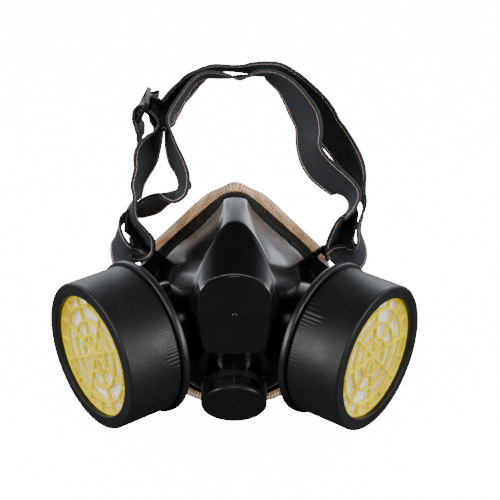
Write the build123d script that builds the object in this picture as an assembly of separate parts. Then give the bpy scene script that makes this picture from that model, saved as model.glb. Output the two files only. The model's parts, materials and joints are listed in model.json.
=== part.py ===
from build123d import *
import os
from math import cos, radians, sin, tau

# Twin-canister half-mask respirator, standing on its canisters and chin.
# +Z is up, +X is the viewer's right, and the wearer's face is on the +Y side.
# The origin is on the floor at the middle of the mask's footprint.

# ---- Driving dimensions, mm and degrees ----
CANISTER_R = 43.0          # outer radius of the rubber sleeve
BAND_R = 45.0              # outer radius of the band round the canister's back plate
CANISTER_DEPTH = 38.0      # back plate to front lip
GRILLE_OPENING_R = 35.5    # clear radius inside the sleeve's front lip
PORT_X, PORT_Y, PORT_Z = 50.2, -4.5, 45.2   # back plate's centre on the right-hand side
PORT_AZIMUTH = 53.6        # canister axis, away from straight ahead
PORT_DROOP = 3.0           # canister axis, below horizontal
NECK_R = 18.1              # threaded neck that the canister turns on
RUN_GAP = 0.1              # radial clearance of the running fits
WALL = 2.4                 # moulded facepiece wall
WEBBING_WIDTH = 24.0
WEBBING_THICKNESS = 1.6

VALVE_CENTRE = (0.0, -38.0, 18.8)   # middle of the exhalation cover's face
VALVE_TILT = 29.0                   # exhalation axis, below horizontal
COVER_R = 18.5
COVER_DEPTH = 12.5

EAR_CENTRE = (58.5, 38.2, 69.5)     # middle of the right-hand strap slot
EAR_SLOPE = (0.70, 0.15, -0.70)     # along the slot
BUCKLE_CENTRE = (-52.5, 47.0, 165.5)
BUCKLE_ALONG = (-0.45, 0.0, -0.893)  # the webbing's direction through the buckle

SIDES = {"left": -1, "right": 1}

# Facepiece outline, right-hand half of each ring from the nose round to the chin.
SEAL_LINE = [(0, 39, 116), (7, 40, 113.2), (15, 42, 106.3), (27.5, 44, 93.5), (38, 46, 82.5),
             (48, 47, 72), (52, 44, 59), (52, 35, 41), (46, 18, 22), (37, 7, 14),
             (21, -4, 8.2), (0, -8.5, 7)]
BAND_LINE = [(0, 33, 116), (6.2, 33, 114.8), (12, 32, 104), (21, 33, 94), (29, 35, 86),
             (39, 36, 77), (46, 34, 62), (48.5, 28.5, 41), (42.5, 10.5, 23), (34, 0, 17),
             (19, -10, 11.5), (0, -15, 10.5)]
CHEEK_LINE = [(0, 18, 115), (5.8, 18, 114.2), (11.5, 16, 106.5), (20, 12, 98.5), (28, 8, 90.5),
              (37, 6, 80), (42, 6, 64), (43, 3, 46), (38, -4, 29), (30, -9, 22),
              (17, -17, 15.5), (0, -21, 14)]
BROW_LINE = [(0, 3, 113), (5.6, 2, 112), (11.3, -5, 107.3), (16.5, -12, 100.2), (20, -20, 92.5),
             (22.5, -27, 85), (25, -26, 72), (25.5, -27, 57), (24, -27, 44), (20, -26, 37),
             (11, -26, 34.5), (0, -26.5, 34)]
PANEL_LINE = [(0, -29, 96.6), (6, -29, 95.8), (11.6, -29, 93.8), (17, -29, 90.6), (20.4, -29.2, 86.8),
              (20.8, -29.8, 79.5), (20.2, -31.3, 71), (19.2, -33.4, 62), (18, -35, 54),
              (15.5, -35.6, 51.2), (8, -36, 50.9), (0, -36, 50.9)]


def tube(outer, inner, low, high):
    """Ring along local Z; an inner radius of 0 gives a plain disc."""
    ring = Pos(0, 0, low) * Cylinder(outer, high - low, align=(Align.CENTER, Align.CENTER, Align.MIN))
    if inner:
        ring -= Pos(0, 0, low - 1) * Cylinder(
            inner, high - low + 2, align=(Align.CENTER, Align.CENTER, Align.MIN))
    return ring


def spokes(count, inner, outer, width, low, high, turn=0.0):
    """Radial bars between two radii."""
    bars = []
    for index in range(count):
        bar = Pos((inner + outer) / 2, 0, (low + high) / 2) * Box(outer - inner, width, high - low)
        bars.append(Rot(0, 0, turn + 360 * index / count) * bar)
    return bars


def whole_ring(half):
    """Mirror a half outline across the mid plane into a closed ring of points."""
    right = [Vector(*point) for point in half]
    left = [Vector(-point.X, point.Y, point.Z) for point in right[-2:0:-1]]
    return right + left


def skin(near, far):
    """Triangles between two rings with the same number of points."""
    triples = []
    for index in range(len(near)):
        after = (index + 1) % len(near)
        triples.append((near[index], near[after], far[after]))
        triples.append((near[index], far[after], far[index]))
    return triples


def cap(ring, last):
    """Fan of triangles closing the first or the last ring."""
    middle = sum(ring, Vector(0, 0, 0)) * (1 / len(ring))
    triples = []
    for index in range(len(ring)):
        here, after = ring[index], ring[(index + 1) % len(ring)]
        triples.append((here, after, middle) if last else (after, here, middle))
    return triples


def closed_body(rings, looped=False):
    """Solid skinned over a run of rings, capped at both ends or joined end to start."""
    triples = []
    pairs = list(zip(rings, rings[1:]))
    if looped:
        pairs.append((rings[-1], rings[0]))
    else:
        triples += cap(rings[0], False) + cap(rings[-1], True)
    for near, far in pairs:
        triples += skin(near, far)
    signed_volume = sum(a.dot(b.cross(c)) for a, b, c in triples)
    if signed_volume < 0:
        triples = [(a, c, b) for a, b, c in triples]
    return Solid(Shell([Face(Wire.make_polygon(triple, close=True)) for triple in triples]))


def grown(rings, distance):
    """Rings moved out along their surface normals, or in for a negative distance."""
    moved = []
    for row, ring in enumerate(rings):
        before = rings[max(row - 1, 0)]
        after = rings[min(row + 1, len(rings) - 1)]
        count = len(ring)
        new_ring = []
        for index, point in enumerate(ring):
            around = ring[(index + 1) % count] - ring[index - 1]
            forward = after[index] - before[index]
            normal = forward.cross(around).normalized()
            new_ring.append(point + normal * distance)
        moved.append(new_ring)
    return moved


def port_plane(side):
    """Canister frame: origin at the back plate's centre, Z outward along the canister."""
    azimuth, droop = radians(PORT_AZIMUTH), radians(PORT_DROOP)
    axis = (side * sin(azimuth) * cos(droop), -cos(azimuth) * cos(droop), -sin(droop))
    return Plane(origin=(side * PORT_X, PORT_Y, PORT_Z), x_dir=(side * cos(azimuth), sin(azimuth), 0),
                 z_dir=axis)


def valve_plane():
    """Exhalation frame: origin at the cover's face, Z outward, down and forward."""
    tilt = radians(VALVE_TILT)
    return Plane(origin=VALVE_CENTRE, x_dir=(1, 0, 0), z_dir=(0, -cos(tilt), -sin(tilt)))


def ear_plane(side):
    """Strap-ear frame: X along the slot, Y towards the outer bar, Z through the plate to the front."""
    along = Vector(side * EAR_SLOPE[0], EAR_SLOPE[1], EAR_SLOPE[2]).normalized()
    front = Vector(0, -1, 0)
    normal = (front - along * front.dot(along)).normalized()
    x_dir = along if side > 0 else -along
    return Plane(origin=(side * EAR_CENTRE[0], EAR_CENTRE[1], EAR_CENTRE[2]), x_dir=x_dir, z_dir=normal)


# ---- Facepiece ----
SOCKET_R = 27.0
SOCKET_BORE_R = 24.5
SOCKET_FACE = -2.5
SOCKET_DEPTH = 19.0
FLANGE = 2.5
BOSS_R = 17.1
BOSS_FACE = -12.2
BOSS_BORE_R = 14.5
EAR_LENGTH = 31.5
EAR_THICKNESS = 3.4
EAR_BAR = 3.6
SLOT_LENGTH = 26.0
SLOT_HEIGHT = 5.0
EAR_ROOT = 12.0


def strap_ear(side):
    """Slotted plate that grows out of the cheek, with a plain bar at its outer edge."""
    low = -SLOT_HEIGHT / 2 - EAR_ROOT
    high = SLOT_HEIGHT / 2 + EAR_BAR
    plate = Pos(0, (low + high) / 2, 0) * Box(EAR_LENGTH, high - low, EAR_THICKNESS)
    plate = fillet(plate.edges().filter_by(Axis.Z).group_by(Axis.Y)[-1], 3)
    slot = Box(SLOT_LENGTH, SLOT_HEIGHT, EAR_THICKNESS + 2)
    return ear_plane(side).location * (plate - slot)


def facepiece_rings():
    outlines = (SEAL_LINE, BAND_LINE, CHEEK_LINE, BROW_LINE, PANEL_LINE)
    return [whole_ring(line) for line in outlines]


def make_facepiece():
    rings = facepiece_rings()
    outer = closed_body(rings)
    inner_rings = grown(rings, -WALL)
    behind = [point + Vector(0, 14, 0) for point in inner_rings[0]]
    inner = closed_body([behind] + inner_rings)
    body = outer
    for side in SIDES.values():
        place = port_plane(side).location
        body += place * tube(SOCKET_R, 0, -SOCKET_DEPTH, SOCKET_FACE)
        body += strap_ear(side)
    valve = valve_plane().location
    body += valve * tube(BOSS_R, 0, BOSS_FACE - 14, BOSS_FACE)
    body -= inner
    for side in SIDES.values():
        place = port_plane(side).location
        body -= place * tube(SOCKET_BORE_R, 0, -SOCKET_DEPTH, SOCKET_FACE - FLANGE)
        body -= place * tube(NECK_R + RUN_GAP, 0, -SOCKET_DEPTH, 1)
    body -= valve * tube(BOSS_BORE_R, 0, BOSS_FACE - 30, BOSS_FACE + 1)
    return largest_solid(body)


def largest_solid(shape):
    return max(shape.solids(), key=lambda solid: solid.volume)


def loop_frames(points):
    """Tangent and outward directions at each point of a closed line."""
    middle = sum(points, Vector(0, 0, 0)) * (1 / len(points))
    frames = []
    for index, point in enumerate(points):
        tangent = (points[(index + 1) % len(points)] - points[index - 1]).normalized()
        outward = point - middle
        outward = (outward - tangent * outward.dot(tangent)).normalized()
        frames.append((point, tangent, outward, tangent.cross(outward)))
    return frames


SEAL_ROLL_R = 3.8
SEAL_GAP = 2.5
SEAL_SIDES = 8


def make_face_seal():
    """Knit-covered roll that runs round the opening, just behind the moulded edge."""
    line = []
    for edge, inboard in zip(whole_ring(SEAL_LINE), whole_ring(BAND_LINE)):
        line.append(edge + (edge - inboard).normalized() * (SEAL_ROLL_R + SEAL_GAP))
    rings = []
    for point, tangent, outward, across in loop_frames(line):
        section = []
        for step in range(SEAL_SIDES):
            angle = tau * (step + 0.5) / SEAL_SIDES
            section.append(point + outward * (SEAL_ROLL_R * cos(angle)) + across * (SEAL_ROLL_R * sin(angle)))
        rings.append(section)
    return closed_body(rings, looped=True)


BINDING_GAP = 0.3
BINDING_THICKNESS = 1.1


def make_seal_binding():
    """Overlocked cloth band over the edge of the moulding, between the roll and the hard shell."""
    rings = facepiece_rings()[:3]
    near = grown(rings, BINDING_GAP)[:2]
    far = grown(rings, BINDING_GAP + BINDING_THICKNESS)[:2]
    sections = [list(section) for section in zip(near[0], near[1], far[1], far[0])]
    band = closed_body(sections, looped=True)
    for side in SIDES.values():
        ear_space = ear_plane(side).location * Box(EAR_LENGTH + 1, 60, EAR_THICKNESS + 1)
        band -= ear_space
        band -= port_plane(side).location * tube(SOCKET_R + 0.3, 0, -SOCKET_DEPTH - 0.1, 10)
    return band


# ---- Canister port: neck, inhalation flap and gasket ----
PORT_BACK = -7.0
NECK_END = 7.0
NECK_BORE_R = 15.5
STEM_R = 1.2
HUB_R = 3.4
INHALE_FLAP_R = 17.0
INHALE_LIFT_GAP = 0.05


def make_port_neck():
    """Rigid neck with a three-arm spider that carries the inhalation flap."""
    neck = tube(NECK_R, NECK_BORE_R, PORT_BACK, NECK_END)
    neck += tube(SOCKET_BORE_R - 0.2, NECK_BORE_R, PORT_BACK, SOCKET_FACE - FLANGE - 0.05)
    for bar in spokes(3, HUB_R - 1, NECK_BORE_R + 1, 2.2, PORT_BACK, PORT_BACK + 1.6, 90):
        neck += bar
    neck += tube(HUB_R, STEM_R + RUN_GAP, PORT_BACK, PORT_BACK + 1.6)
    neck -= tube(STEM_R + RUN_GAP, 0, PORT_BACK - 1, PORT_BACK + 3)
    return neck


def make_inhale_flap():
    """Thin rubber disc with a centre stem, behind the spider."""
    disc = tube(INHALE_FLAP_R, 0, PORT_BACK - INHALE_LIFT_GAP - 0.9, PORT_BACK - INHALE_LIFT_GAP)
    stem = tube(STEM_R, 0, PORT_BACK - INHALE_LIFT_GAP - 0.1, PORT_BACK + 3.2)
    return disc + stem


def make_gasket():
    return tube(SOCKET_R - 2, NECK_R + 0.2, SOCKET_FACE + 0.02, -0.1)


# ---- Canister ----
CUP_R = 40.0
CUP_WALL = 1.5
CUP_END = 30.0
PLATE = 3.0
BED_R = CUP_R - CUP_WALL - 0.1
SCREEN_START = 7.2
BED_START = 8.6
BED_END = 24.0
FELT_END = 29.8
SLEEVE_START = 4.8
LIP_START = 35.0
GRILLE_START = 32.6
RIM_FOOT = 29.9
FELT_CROWN = 31.6          # the felt swells up inside the grille's rim
GRILLE_END = 34.9
GRILLE_RIB = 1.7
GRILLE_RINGS = (11.3, 19.8, 28.3)
GRILLE_RIM_R = 34.2
GRILLE_TURN = {"left": 29.0, "right": 0.0}   # how far round each sleeve was pushed on


def make_canister_base():
    """Back plate, wide band and cup wall in one moulding."""
    base = tube(CANISTER_R, NECK_R + RUN_GAP, 0, PLATE)
    base += tube(BAND_R, CANISTER_R - 3, 0, 4.2)
    base += tube(NECK_R + 3, NECK_R + RUN_GAP, PLATE, NECK_END)
    base += tube(CUP_R, CUP_R - CUP_WALL, 0, CUP_END)
    return base


def make_carbon_screen():
    """Perforated disc that keeps the granules off the neck."""
    disc = tube(BED_R, 0, SCREEN_START, BED_START - 0.1)
    hole = tube(2.2, 0, SCREEN_START - 1, BED_START + 1)
    for ring_r, count in ((8.0, 6), (16.0, 10), (24.0, 14), (32.0, 18)):
        for index in range(count):
            disc -= Rot(0, 0, 360 * index / count) * Pos(ring_r, 0, 0) * hole
    return disc


def make_carbon_bed():
    return tube(BED_R, 0, BED_START, BED_END)


def make_felt_pad():
    """Felt disc, thicker where it is free to swell inside the grille's rim."""
    return tube(BED_R, 0, BED_END + 0.1, FELT_END) + tube(GRILLE_RIM_R - 0.3, 0, FELT_END - 0.1, FELT_CROWN)


def make_sleeve():
    """Rubber sleeve that pushes over the cup, with a flat front lip."""
    sleeve = tube(CANISTER_R, CUP_R + RUN_GAP, SLEEVE_START, CANISTER_DEPTH)
    sleeve += tube(CANISTER_R, GRILLE_OPENING_R, LIP_START, CANISTER_DEPTH)
    return fillet(sleeve.edges().filter_by(GeomType.CIRCLE).sort_by(Axis.Z)[-1], 1.2)


def make_grille():
    """Open yellow guard: three rings, eight long spokes, sixteen short ones at the rim, and a deep rim."""
    guard = tube(CUP_R, GRILLE_RIM_R, CUP_END + 1.4, GRILLE_END)
    guard += tube(BED_R, GRILLE_RIM_R, RIM_FOOT, GRILLE_START + 0.1)
    guard += tube(4.0, 0, GRILLE_START, GRILLE_END)
    for ring_r in GRILLE_RINGS:
        guard += tube(ring_r + GRILLE_RIB / 2, ring_r - GRILLE_RIB / 2, GRILLE_START, GRILLE_END)
    for bar in spokes(8, 3.0, GRILLE_RINGS[-1], GRILLE_RIB, GRILLE_START, GRILLE_END):
        guard += bar
    for bar in spokes(16, GRILLE_RINGS[-1], GRILLE_RIM_R + 1, GRILLE_RIB, GRILLE_START, GRILLE_END):
        guard += bar
    return guard


# ---- Exhalation valve ----
SEAT_FACE = -10.7
EXHALE_FLAP_R = 13.4
SEAT_OPENING_R = 12.0


def make_exhale_seat():
    """Seat ring with a four-arm spider and a short spigot in the boss."""
    seat = tube(BOSS_R - 0.3, SEAT_OPENING_R, BOSS_FACE + 0.02, SEAT_FACE)
    seat += tube(BOSS_BORE_R - 0.1, SEAT_OPENING_R, BOSS_FACE - 4, SEAT_FACE)
    for bar in spokes(4, HUB_R - 1, SEAT_OPENING_R + 1, 1.8, BOSS_FACE, SEAT_FACE, 45):
        seat += bar
    seat += tube(HUB_R, STEM_R + RUN_GAP, BOSS_FACE, SEAT_FACE)
    return seat - tube(STEM_R + RUN_GAP, 0, BOSS_FACE - 1, SEAT_FACE + 1)


def make_exhale_flap():
    disc = tube(EXHALE_FLAP_R, 0, SEAT_FACE + 0.05, SEAT_FACE + 0.85)
    stem = tube(STEM_R, 0, BOSS_FACE - 2, SEAT_FACE + 0.2)
    return disc + stem


def make_exhale_cover():
    """Cap over the flap, with arched windows through its side wall."""
    cover = tube(COVER_R, 0, -COVER_DEPTH, 0)
    cover -= tube(BOSS_R + RUN_GAP, 0, -COVER_DEPTH - 1, -1.6)
    window = Pos(COVER_R, 0, -5.5) * Box(8, 12.5, 5.0)
    for turn in (62, 118, 242, 298):
        cover -= Rot(0, 0, turn) * window
    return fillet(cover.edges().filter_by(GeomType.CIRCLE).sort_by(Axis.Z)[-1], 1.0)


# ---- Head strap ----
# Stations along each run of webbing: middle point, then the direction across its width.
FRONT_RUN = [((-42.5, 48, 161.5), (-.20, .15, .97)), ((-37, 49, 165), (-.14, -.63, .76)),
             ((-28.5, 49, 175), (-.14, -.71, .69)), ((-20, 49, 183), (-.09, -.82, .57)),
             ((-11.5, 49, 187), (0, -.89, .45)), ((4.5, 49, 186.5), (0, -.88, .47)),
             ((16, 49, 187), (.05, -.82, .58)), ((23, 49, 185.5), (.14, -.76, .63)),
             ((36.5, 49, 175), (.26, -.69, .68)), ((48, 49, 161), (.40, -.61, .69)),
             ((56, 49, 146.5), (.56, -.56, .61)), ((66.5, 47, 130.5), (.48, -.70, .52)),
             ((70.5, 45, 119), (.22, -.82, .52)), ((74, 42.5, 107), (0, -.90, .45)),
             ((72.3, 40, 95), (-.14, -.88, .45)), ((72.6, 38, 85.7), (-.20, -.86, .46)),
             ((71.8, 36.8, 80), (-.42, -.70, .58))]
BACK_RUN = [((62.3, 40.5, 88.5), (-.64, -.69, .34)), ((63, 40.5, 91), (-.62, -.71, .34)),
            ((64.6, 40, 98.3), (-.52, -.75, .39)), ((65.8, 40, 105), (-.28, -.81, .51)),
            ((65.5, 39, 110), (.10, -.78, .62)), ((63.8, 39, 116), (.46, -.65, .60)),
            ((55.7, 39, 123.7), (.73, -.52, .44)), ((45.8, 39, 134.4), (.72, -.62, .31)),
            ((41.2, 39, 147.7), (.52, -.79, .33)), ((38.3, 39, 163.7), (.69, -.66, .28)),
            ((30, 39, 177.5), (.54, -.76, .36)), ((20, 40.5, 185), (.31, -.83, .48)),
            ((8, 42.5, 184.5), (0, -.95, .31)), ((-3.7, 43, 183.8), (-.02, -.93, .37)),
            ((-18.3, 42.5, 184.6), (-.05, -.90, .43)), ((-27.8, 41, 176.2), (-.14, -.93, .34)),
            ((-33.8, 39, 166.8), (-.15, -.90, .41)), ((-37.3, 37.5, 156.5), (.08, -.92, .38)),
            ((-36.2, 37, 146.3), (.29, -.90, .34)), ((-33.4, 37, 134.7), (.42, -.84, .34)),
            ((-31.6, 37.2, 125.5), (.39, -.85, .36)), ((-32.7, 39, 118.3), (.24, -.87, .43)),
            ((-35.8, 42, 114.2), (-.04, -.85, .52)), ((-40.5, 46, 110.5), (-.14, -.79, .59)),
            ((-46.5, 50, 105.5), (-.17, -.74, .65)), ((-56.3, 54, 97), (-.05, -.74, .67)),
            ((-63, 51.5, 95.5), (.03, -.83, .56)), ((-67.5, 46.5, 91.5), (.06, -.85, .53)),
            ((-68.8, 42.5, 88), (.20, -.80, .55))]
BUCKLE_RUN = [((-56.6, 40, 87.5), (.64, -.68, .38)), ((-56.8, 37.5, 92), (.50, -.78, .38)),
              ((-57, 35.5, 96), (.38, -.84, .38)), ((-57.2, 34, 105), (.05, -.92, .40)),
              ((-56.4, 36, 114), (-.19, -.90, .38)), ((-54.2, 40, 124.3), (-.33, -.87, .36)),
              ((-51, 41, 133.6), (-.50, -.81, .32)), ((-50, 41, 141), (-.51, -.78, .37)),
              ((-46.2, 41, 149), (-.21, -.86, .46)), ((-43.6, 41.5, 155.5), (.03, -.94, .34))]


def ribbon(stations, width=WEBBING_WIDTH, thickness=WEBBING_THICKNESS):
    """Flat webbing through a run of stations."""
    points = [Vector(*point) for point, across in stations]
    rings = []
    for index, (point, across) in enumerate(stations):
        ahead = points[min(index + 1, len(points) - 1)]
        behind = points[max(index - 1, 0)]
        across = Vector(*across).normalized()
        normal = (ahead - behind).cross(across).normalized()
        half_width = across * (width / 2)
        half_thickness = normal * (thickness / 2)
        middle = Vector(*point)
        rings.append([middle - half_width - half_thickness, middle + half_width - half_thickness,
                      middle + half_width + half_thickness, middle - half_width + half_thickness])
    return closed_body(rings)


def make_strap_end(side):
    """Webbing folded round the ear's bar: a front leg, the turn in the slot and a back leg."""
    bar_low = SLOT_HEIGHT / 2
    front = EAR_THICKNESS / 2 + 0.3
    turn_low = bar_low - 0.3 - WEBBING_THICKNESS
    leg_top = 10.0
    depth = 2 * (front + WEBBING_THICKNESS)
    block = Pos(0, (turn_low + leg_top) / 2, 0) * Box(WEBBING_WIDTH, leg_top - turn_low, depth)
    bar_space = Pos(0, (bar_low - 0.3 + leg_top + 1) / 2, 0) * Box(
        WEBBING_WIDTH + 2, leg_top + 1 - bar_low + 0.3, 2 * front)
    return ear_plane(side).location * (block - bar_space)


BUCKLE_WIDTH = 31.0
BUCKLE_LENGTH = 13.0
BUCKLE_THICKNESS = 2.6


def make_buckle():
    """Three-bar slide with two slots for the webbing."""
    frame_body = Box(BUCKLE_LENGTH, BUCKLE_WIDTH, BUCKLE_THICKNESS)
    frame_body = fillet(frame_body.edges().filter_by(Axis.Z), 2)
    for offset in (-2.9, 2.9):
        frame_body -= Pos(offset, 0, 0) * Box(3.4, WEBBING_WIDTH + 1, BUCKLE_THICKNESS + 2)
    normal = Vector(*BUCKLE_ALONG).cross(Vector(0, 1, 0))
    place = Plane(origin=BUCKLE_CENTRE, x_dir=BUCKLE_ALONG, z_dir=normal)
    return place.location * frame_body


def make_parts():
    parts = {
        "facepiece": make_facepiece(),
        "face_seal": make_face_seal(),
        "seal_binding": make_seal_binding(),
        "head_strap": Compound([ribbon(FRONT_RUN), ribbon(BACK_RUN), ribbon(BUCKLE_RUN)]),
        "strap_buckle": make_buckle(),
    }
    canister_pieces = {
        "port_neck": make_port_neck, "inhale_flap": make_inhale_flap, "port_gasket": make_gasket,
        "canister_base": make_canister_base, "carbon_screen": make_carbon_screen,
        "carbon_bed": make_carbon_bed, "felt_pad": make_felt_pad,
        "canister_sleeve": make_sleeve, "canister_grille": make_grille,
    }
    for name, make in canister_pieces.items():
        piece = make()
        for side_name, side in SIDES.items():
            turn = GRILLE_TURN[side_name] if name == "canister_grille" else 0
            parts[f"{name}_{side_name}"] = port_plane(side).location * (Rot(0, 0, turn) * piece)
    for side_name, side in SIDES.items():
        parts[f"strap_end_{side_name}"] = make_strap_end(side)
    valve = valve_plane().location
    parts["exhale_seat"] = valve * make_exhale_seat()
    parts["exhale_flap"] = valve * make_exhale_flap()
    parts["exhale_cover"] = valve * make_exhale_cover()
    return parts


def main():
    os.makedirs("parts", exist_ok=True)
    for name, shape in make_parts().items():
        export_step(shape, f"parts/{name}.step")
        print(name, round(shape.volume), "mm3")


main()
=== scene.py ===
import json
from math import cos, pi, radians, sin, tau

import bmesh
import bpy
from mathutils import Matrix, Vector, noise
from mathutils.bvhtree import BVHTree


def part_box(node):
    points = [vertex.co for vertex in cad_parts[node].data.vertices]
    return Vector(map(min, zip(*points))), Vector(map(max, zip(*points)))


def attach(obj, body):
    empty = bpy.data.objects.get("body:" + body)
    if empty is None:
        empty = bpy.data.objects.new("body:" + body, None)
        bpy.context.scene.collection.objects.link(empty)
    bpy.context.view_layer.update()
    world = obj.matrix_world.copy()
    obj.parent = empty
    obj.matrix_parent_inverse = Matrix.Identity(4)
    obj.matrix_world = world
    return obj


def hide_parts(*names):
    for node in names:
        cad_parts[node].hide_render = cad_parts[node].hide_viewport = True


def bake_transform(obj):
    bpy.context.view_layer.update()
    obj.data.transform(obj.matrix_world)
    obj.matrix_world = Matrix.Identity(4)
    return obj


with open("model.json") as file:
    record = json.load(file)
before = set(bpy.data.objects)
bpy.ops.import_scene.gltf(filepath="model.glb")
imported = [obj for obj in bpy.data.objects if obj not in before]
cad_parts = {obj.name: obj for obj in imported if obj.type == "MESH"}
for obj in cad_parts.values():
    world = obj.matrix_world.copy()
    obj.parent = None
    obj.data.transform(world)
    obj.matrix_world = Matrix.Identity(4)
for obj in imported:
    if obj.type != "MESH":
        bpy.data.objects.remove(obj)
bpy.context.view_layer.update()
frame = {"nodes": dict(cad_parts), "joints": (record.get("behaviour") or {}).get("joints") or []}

# Every length below is in millimetres; make_piece turns the finished mesh into metres.
MM = 0.001
SIDES = {"left": -1, "right": 1}


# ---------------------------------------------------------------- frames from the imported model
def joint(name):
    return next(entry for entry in frame["joints"] if entry["name"] == name)


def frame_matrix(origin, x_axis, z_axis):
    """Local X, Y and Z axes at an origin."""
    z_axis = Vector(z_axis).normalized()
    x_axis = Vector(x_axis)
    x_axis = (x_axis - z_axis * x_axis.dot(z_axis)).normalized()
    y_axis = z_axis.cross(x_axis)
    matrix = Matrix((x_axis, y_axis, z_axis)).transposed().to_4x4()
    matrix.translation = Vector(origin)
    return matrix


def port_matrix(side_name):
    """Canister frame: origin at the back plate's centre, Z outward along the canister."""
    twist = joint(f"canister_twist_{side_name}")
    axis = Vector(twist["axis"])
    level = Vector((0, 0, 1)).cross(axis) * -SIDES[side_name]
    return frame_matrix(Vector(twist["pos_m"]) / MM, level * -1, axis)


def valve_matrix():
    """Exhalation frame: origin at the middle of the cover's face, Z outward."""
    axis = Vector(joint("exhale_flap_lift")["axis"])
    low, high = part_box("exhale_cover")
    middle = (Vector(low) + Vector(high)) / 2 / MM
    return frame_matrix(middle + axis * COVER_DEPTH / 2, (1, 0, 0), axis)


EAR_CENTRE = (58.5, 38.2, 69.5)
EAR_SLOPE = (0.70, 0.15, -0.70)


def ear_matrix(side):
    """Strap-ear frame: X along the slot, Y towards the outer bar, Z to the front."""
    along = Vector((side * EAR_SLOPE[0], EAR_SLOPE[1], EAR_SLOPE[2])).normalized()
    front = Vector((0, -1, 0))
    normal = (front - along * front.dot(along)).normalized()
    return frame_matrix((side * EAR_CENTRE[0], EAR_CENTRE[1], EAR_CENTRE[2]), along * side, normal)


# ---------------------------------------------------------------- mesh helpers
def mesh_object(name, verts, faces):
    """New object from millimetre points."""
    mesh = bpy.data.meshes.new(name)
    mesh.from_pydata([Vector(vert) * MM for vert in verts], [], faces)
    piece = bpy.data.objects.new(name, mesh)
    bpy.context.collection.objects.link(piece)
    return piece


def clean_mesh(mesh, merge=False):
    clean = bmesh.new()
    clean.from_mesh(mesh)
    if merge:
        bmesh.ops.remove_doubles(clean, verts=clean.verts, dist=1e-6)
    bmesh.ops.recalc_face_normals(clean, faces=clean.faces)
    clean.to_mesh(mesh)
    clean.free()


def make_piece(name, verts, faces, material, body, stands_for=(), smooth_angle=35, uvs=None):
    """Mesh object in metres that rides on a body and stands for its CAD nodes."""
    piece = mesh_object(name, verts, faces)
    if uvs:
        layer = piece.data.uv_layers.new(name="UVMap")
        for loop in piece.data.loops:
            layer.data[loop.index].uv = uvs[loop.vertex_index]
    finish_piece(piece, material, body, stands_for, smooth_angle)
    return piece


def finish_piece(piece, material, body, stands_for=(), smooth_angle=35):
    mesh = piece.data
    clean_mesh(mesh, merge=True)
    mesh.materials.clear()
    mesh.materials.append(material)
    mesh.polygons.foreach_set("use_smooth", [True] * len(mesh.polygons))
    mesh.set_sharp_from_angle(angle=radians(smooth_angle))
    mesh.update()
    if body:
        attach(piece, body)
    if stands_for:
        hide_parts(*stands_for)


def grid_faces(rows, columns, close_rows=False, close_columns=True):
    """Quads over a grid of vertices stored row by row."""
    faces = []
    for row in range(rows if close_rows else rows - 1):
        after_row = (row + 1) % rows
        for column in range(columns if close_columns else columns - 1):
            after = (column + 1) % columns
            faces.append((row * columns + column, row * columns + after,
                          after_row * columns + after, after_row * columns + column))
    return faces


def end_faces(rows, count):
    """The two faces that close the ends of a run of rings."""
    return [tuple(reversed(range(count))), tuple(range((rows - 1) * count, rows * count))]


def spun(radius, angle, height):
    return Vector((radius * cos(angle), radius * sin(angle), height))


def arc(centre, radius, start, end, steps):
    """Points of an arc in the profile plane, angles in degrees."""
    points = []
    for step in range(steps + 1):
        angle = radians(start + (end - start) * step / steps)
        points.append((centre[0] + radius * cos(angle), centre[1] + radius * sin(angle)))
    return points


def rounded(profile, radius, steps=3):
    """Closed profile with every corner rounded by an arc-like run of points."""
    count = len(profile)
    result = []
    for index, corner in enumerate(profile):
        corner = Vector(corner[:2])
        before = Vector(profile[index - 1][:2])
        after = Vector(profile[(index + 1) % count][:2])
        size = profile[index][2] if len(profile[index]) > 2 else radius
        size = min(size, (before - corner).length * 0.45, (after - corner).length * 0.45)
        start = corner + (before - corner).normalized() * size
        end = corner + (after - corner).normalized() * size
        for step in range(steps + 1):
            share = step / steps
            bend = start * (1 - share) ** 2 + corner * 2 * share * (1 - share) + end * share ** 2
            result.append(tuple(bend))
    return result


def lathe(profile, segments, shape=None):
    """Ring of a closed (radius, height) profile turned about Z."""
    verts = []
    for step in range(segments):
        angle = tau * step / segments
        for radius, height in profile:
            if shape:
                radius, height = shape(radius, height, angle)
            verts.append(spun(radius, angle, height))
    return verts, grid_faces(segments, len(profile), close_rows=True)


def catmull(points, per_span, closed=False):
    """Smooth run of points through the given ones."""
    count = len(points)
    spans = count if closed else count - 1
    result = []
    for index in range(spans):
        if closed:
            p0, p1, p2, p3 = (points[(index + shift) % count] for shift in (-1, 0, 1, 2))
        else:
            p1, p2 = points[index], points[index + 1]
            p0 = points[index - 1] if index else p1 * 2 - p2
            p3 = points[index + 2] if index + 2 < count else p2 * 2 - p1
        for step in range(per_span):
            t = step / per_span
            result.append((p1 * 2 + (p2 - p0) * t + (p0 * 2 - p1 * 5 + p2 * 4 - p3) * t * t
                           + (p1 * 3 - p0 - p2 * 3 + p3) * t ** 3) / 2)
    if not closed:
        result.append(points[-1].copy())
    return result


def resample(points, spacing, closed=False):
    """Evenly spaced points along a polyline."""
    line = list(points) + ([points[0]] if closed else [])
    lengths = [0.0]
    for near, far in zip(line, line[1:]):
        lengths.append(lengths[-1] + (far - near).length)
    count = max(2, round(lengths[-1] / spacing))
    result = []
    cursor = 0
    for step in range(count if closed else count + 1):
        target = lengths[-1] * step / count
        while cursor < len(lengths) - 2 and lengths[cursor + 1] < target:
            cursor += 1
        span = max(lengths[cursor + 1] - lengths[cursor], 1e-9)
        result.append(line[cursor].lerp(line[cursor + 1], (target - lengths[cursor]) / span))
    return result


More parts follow.
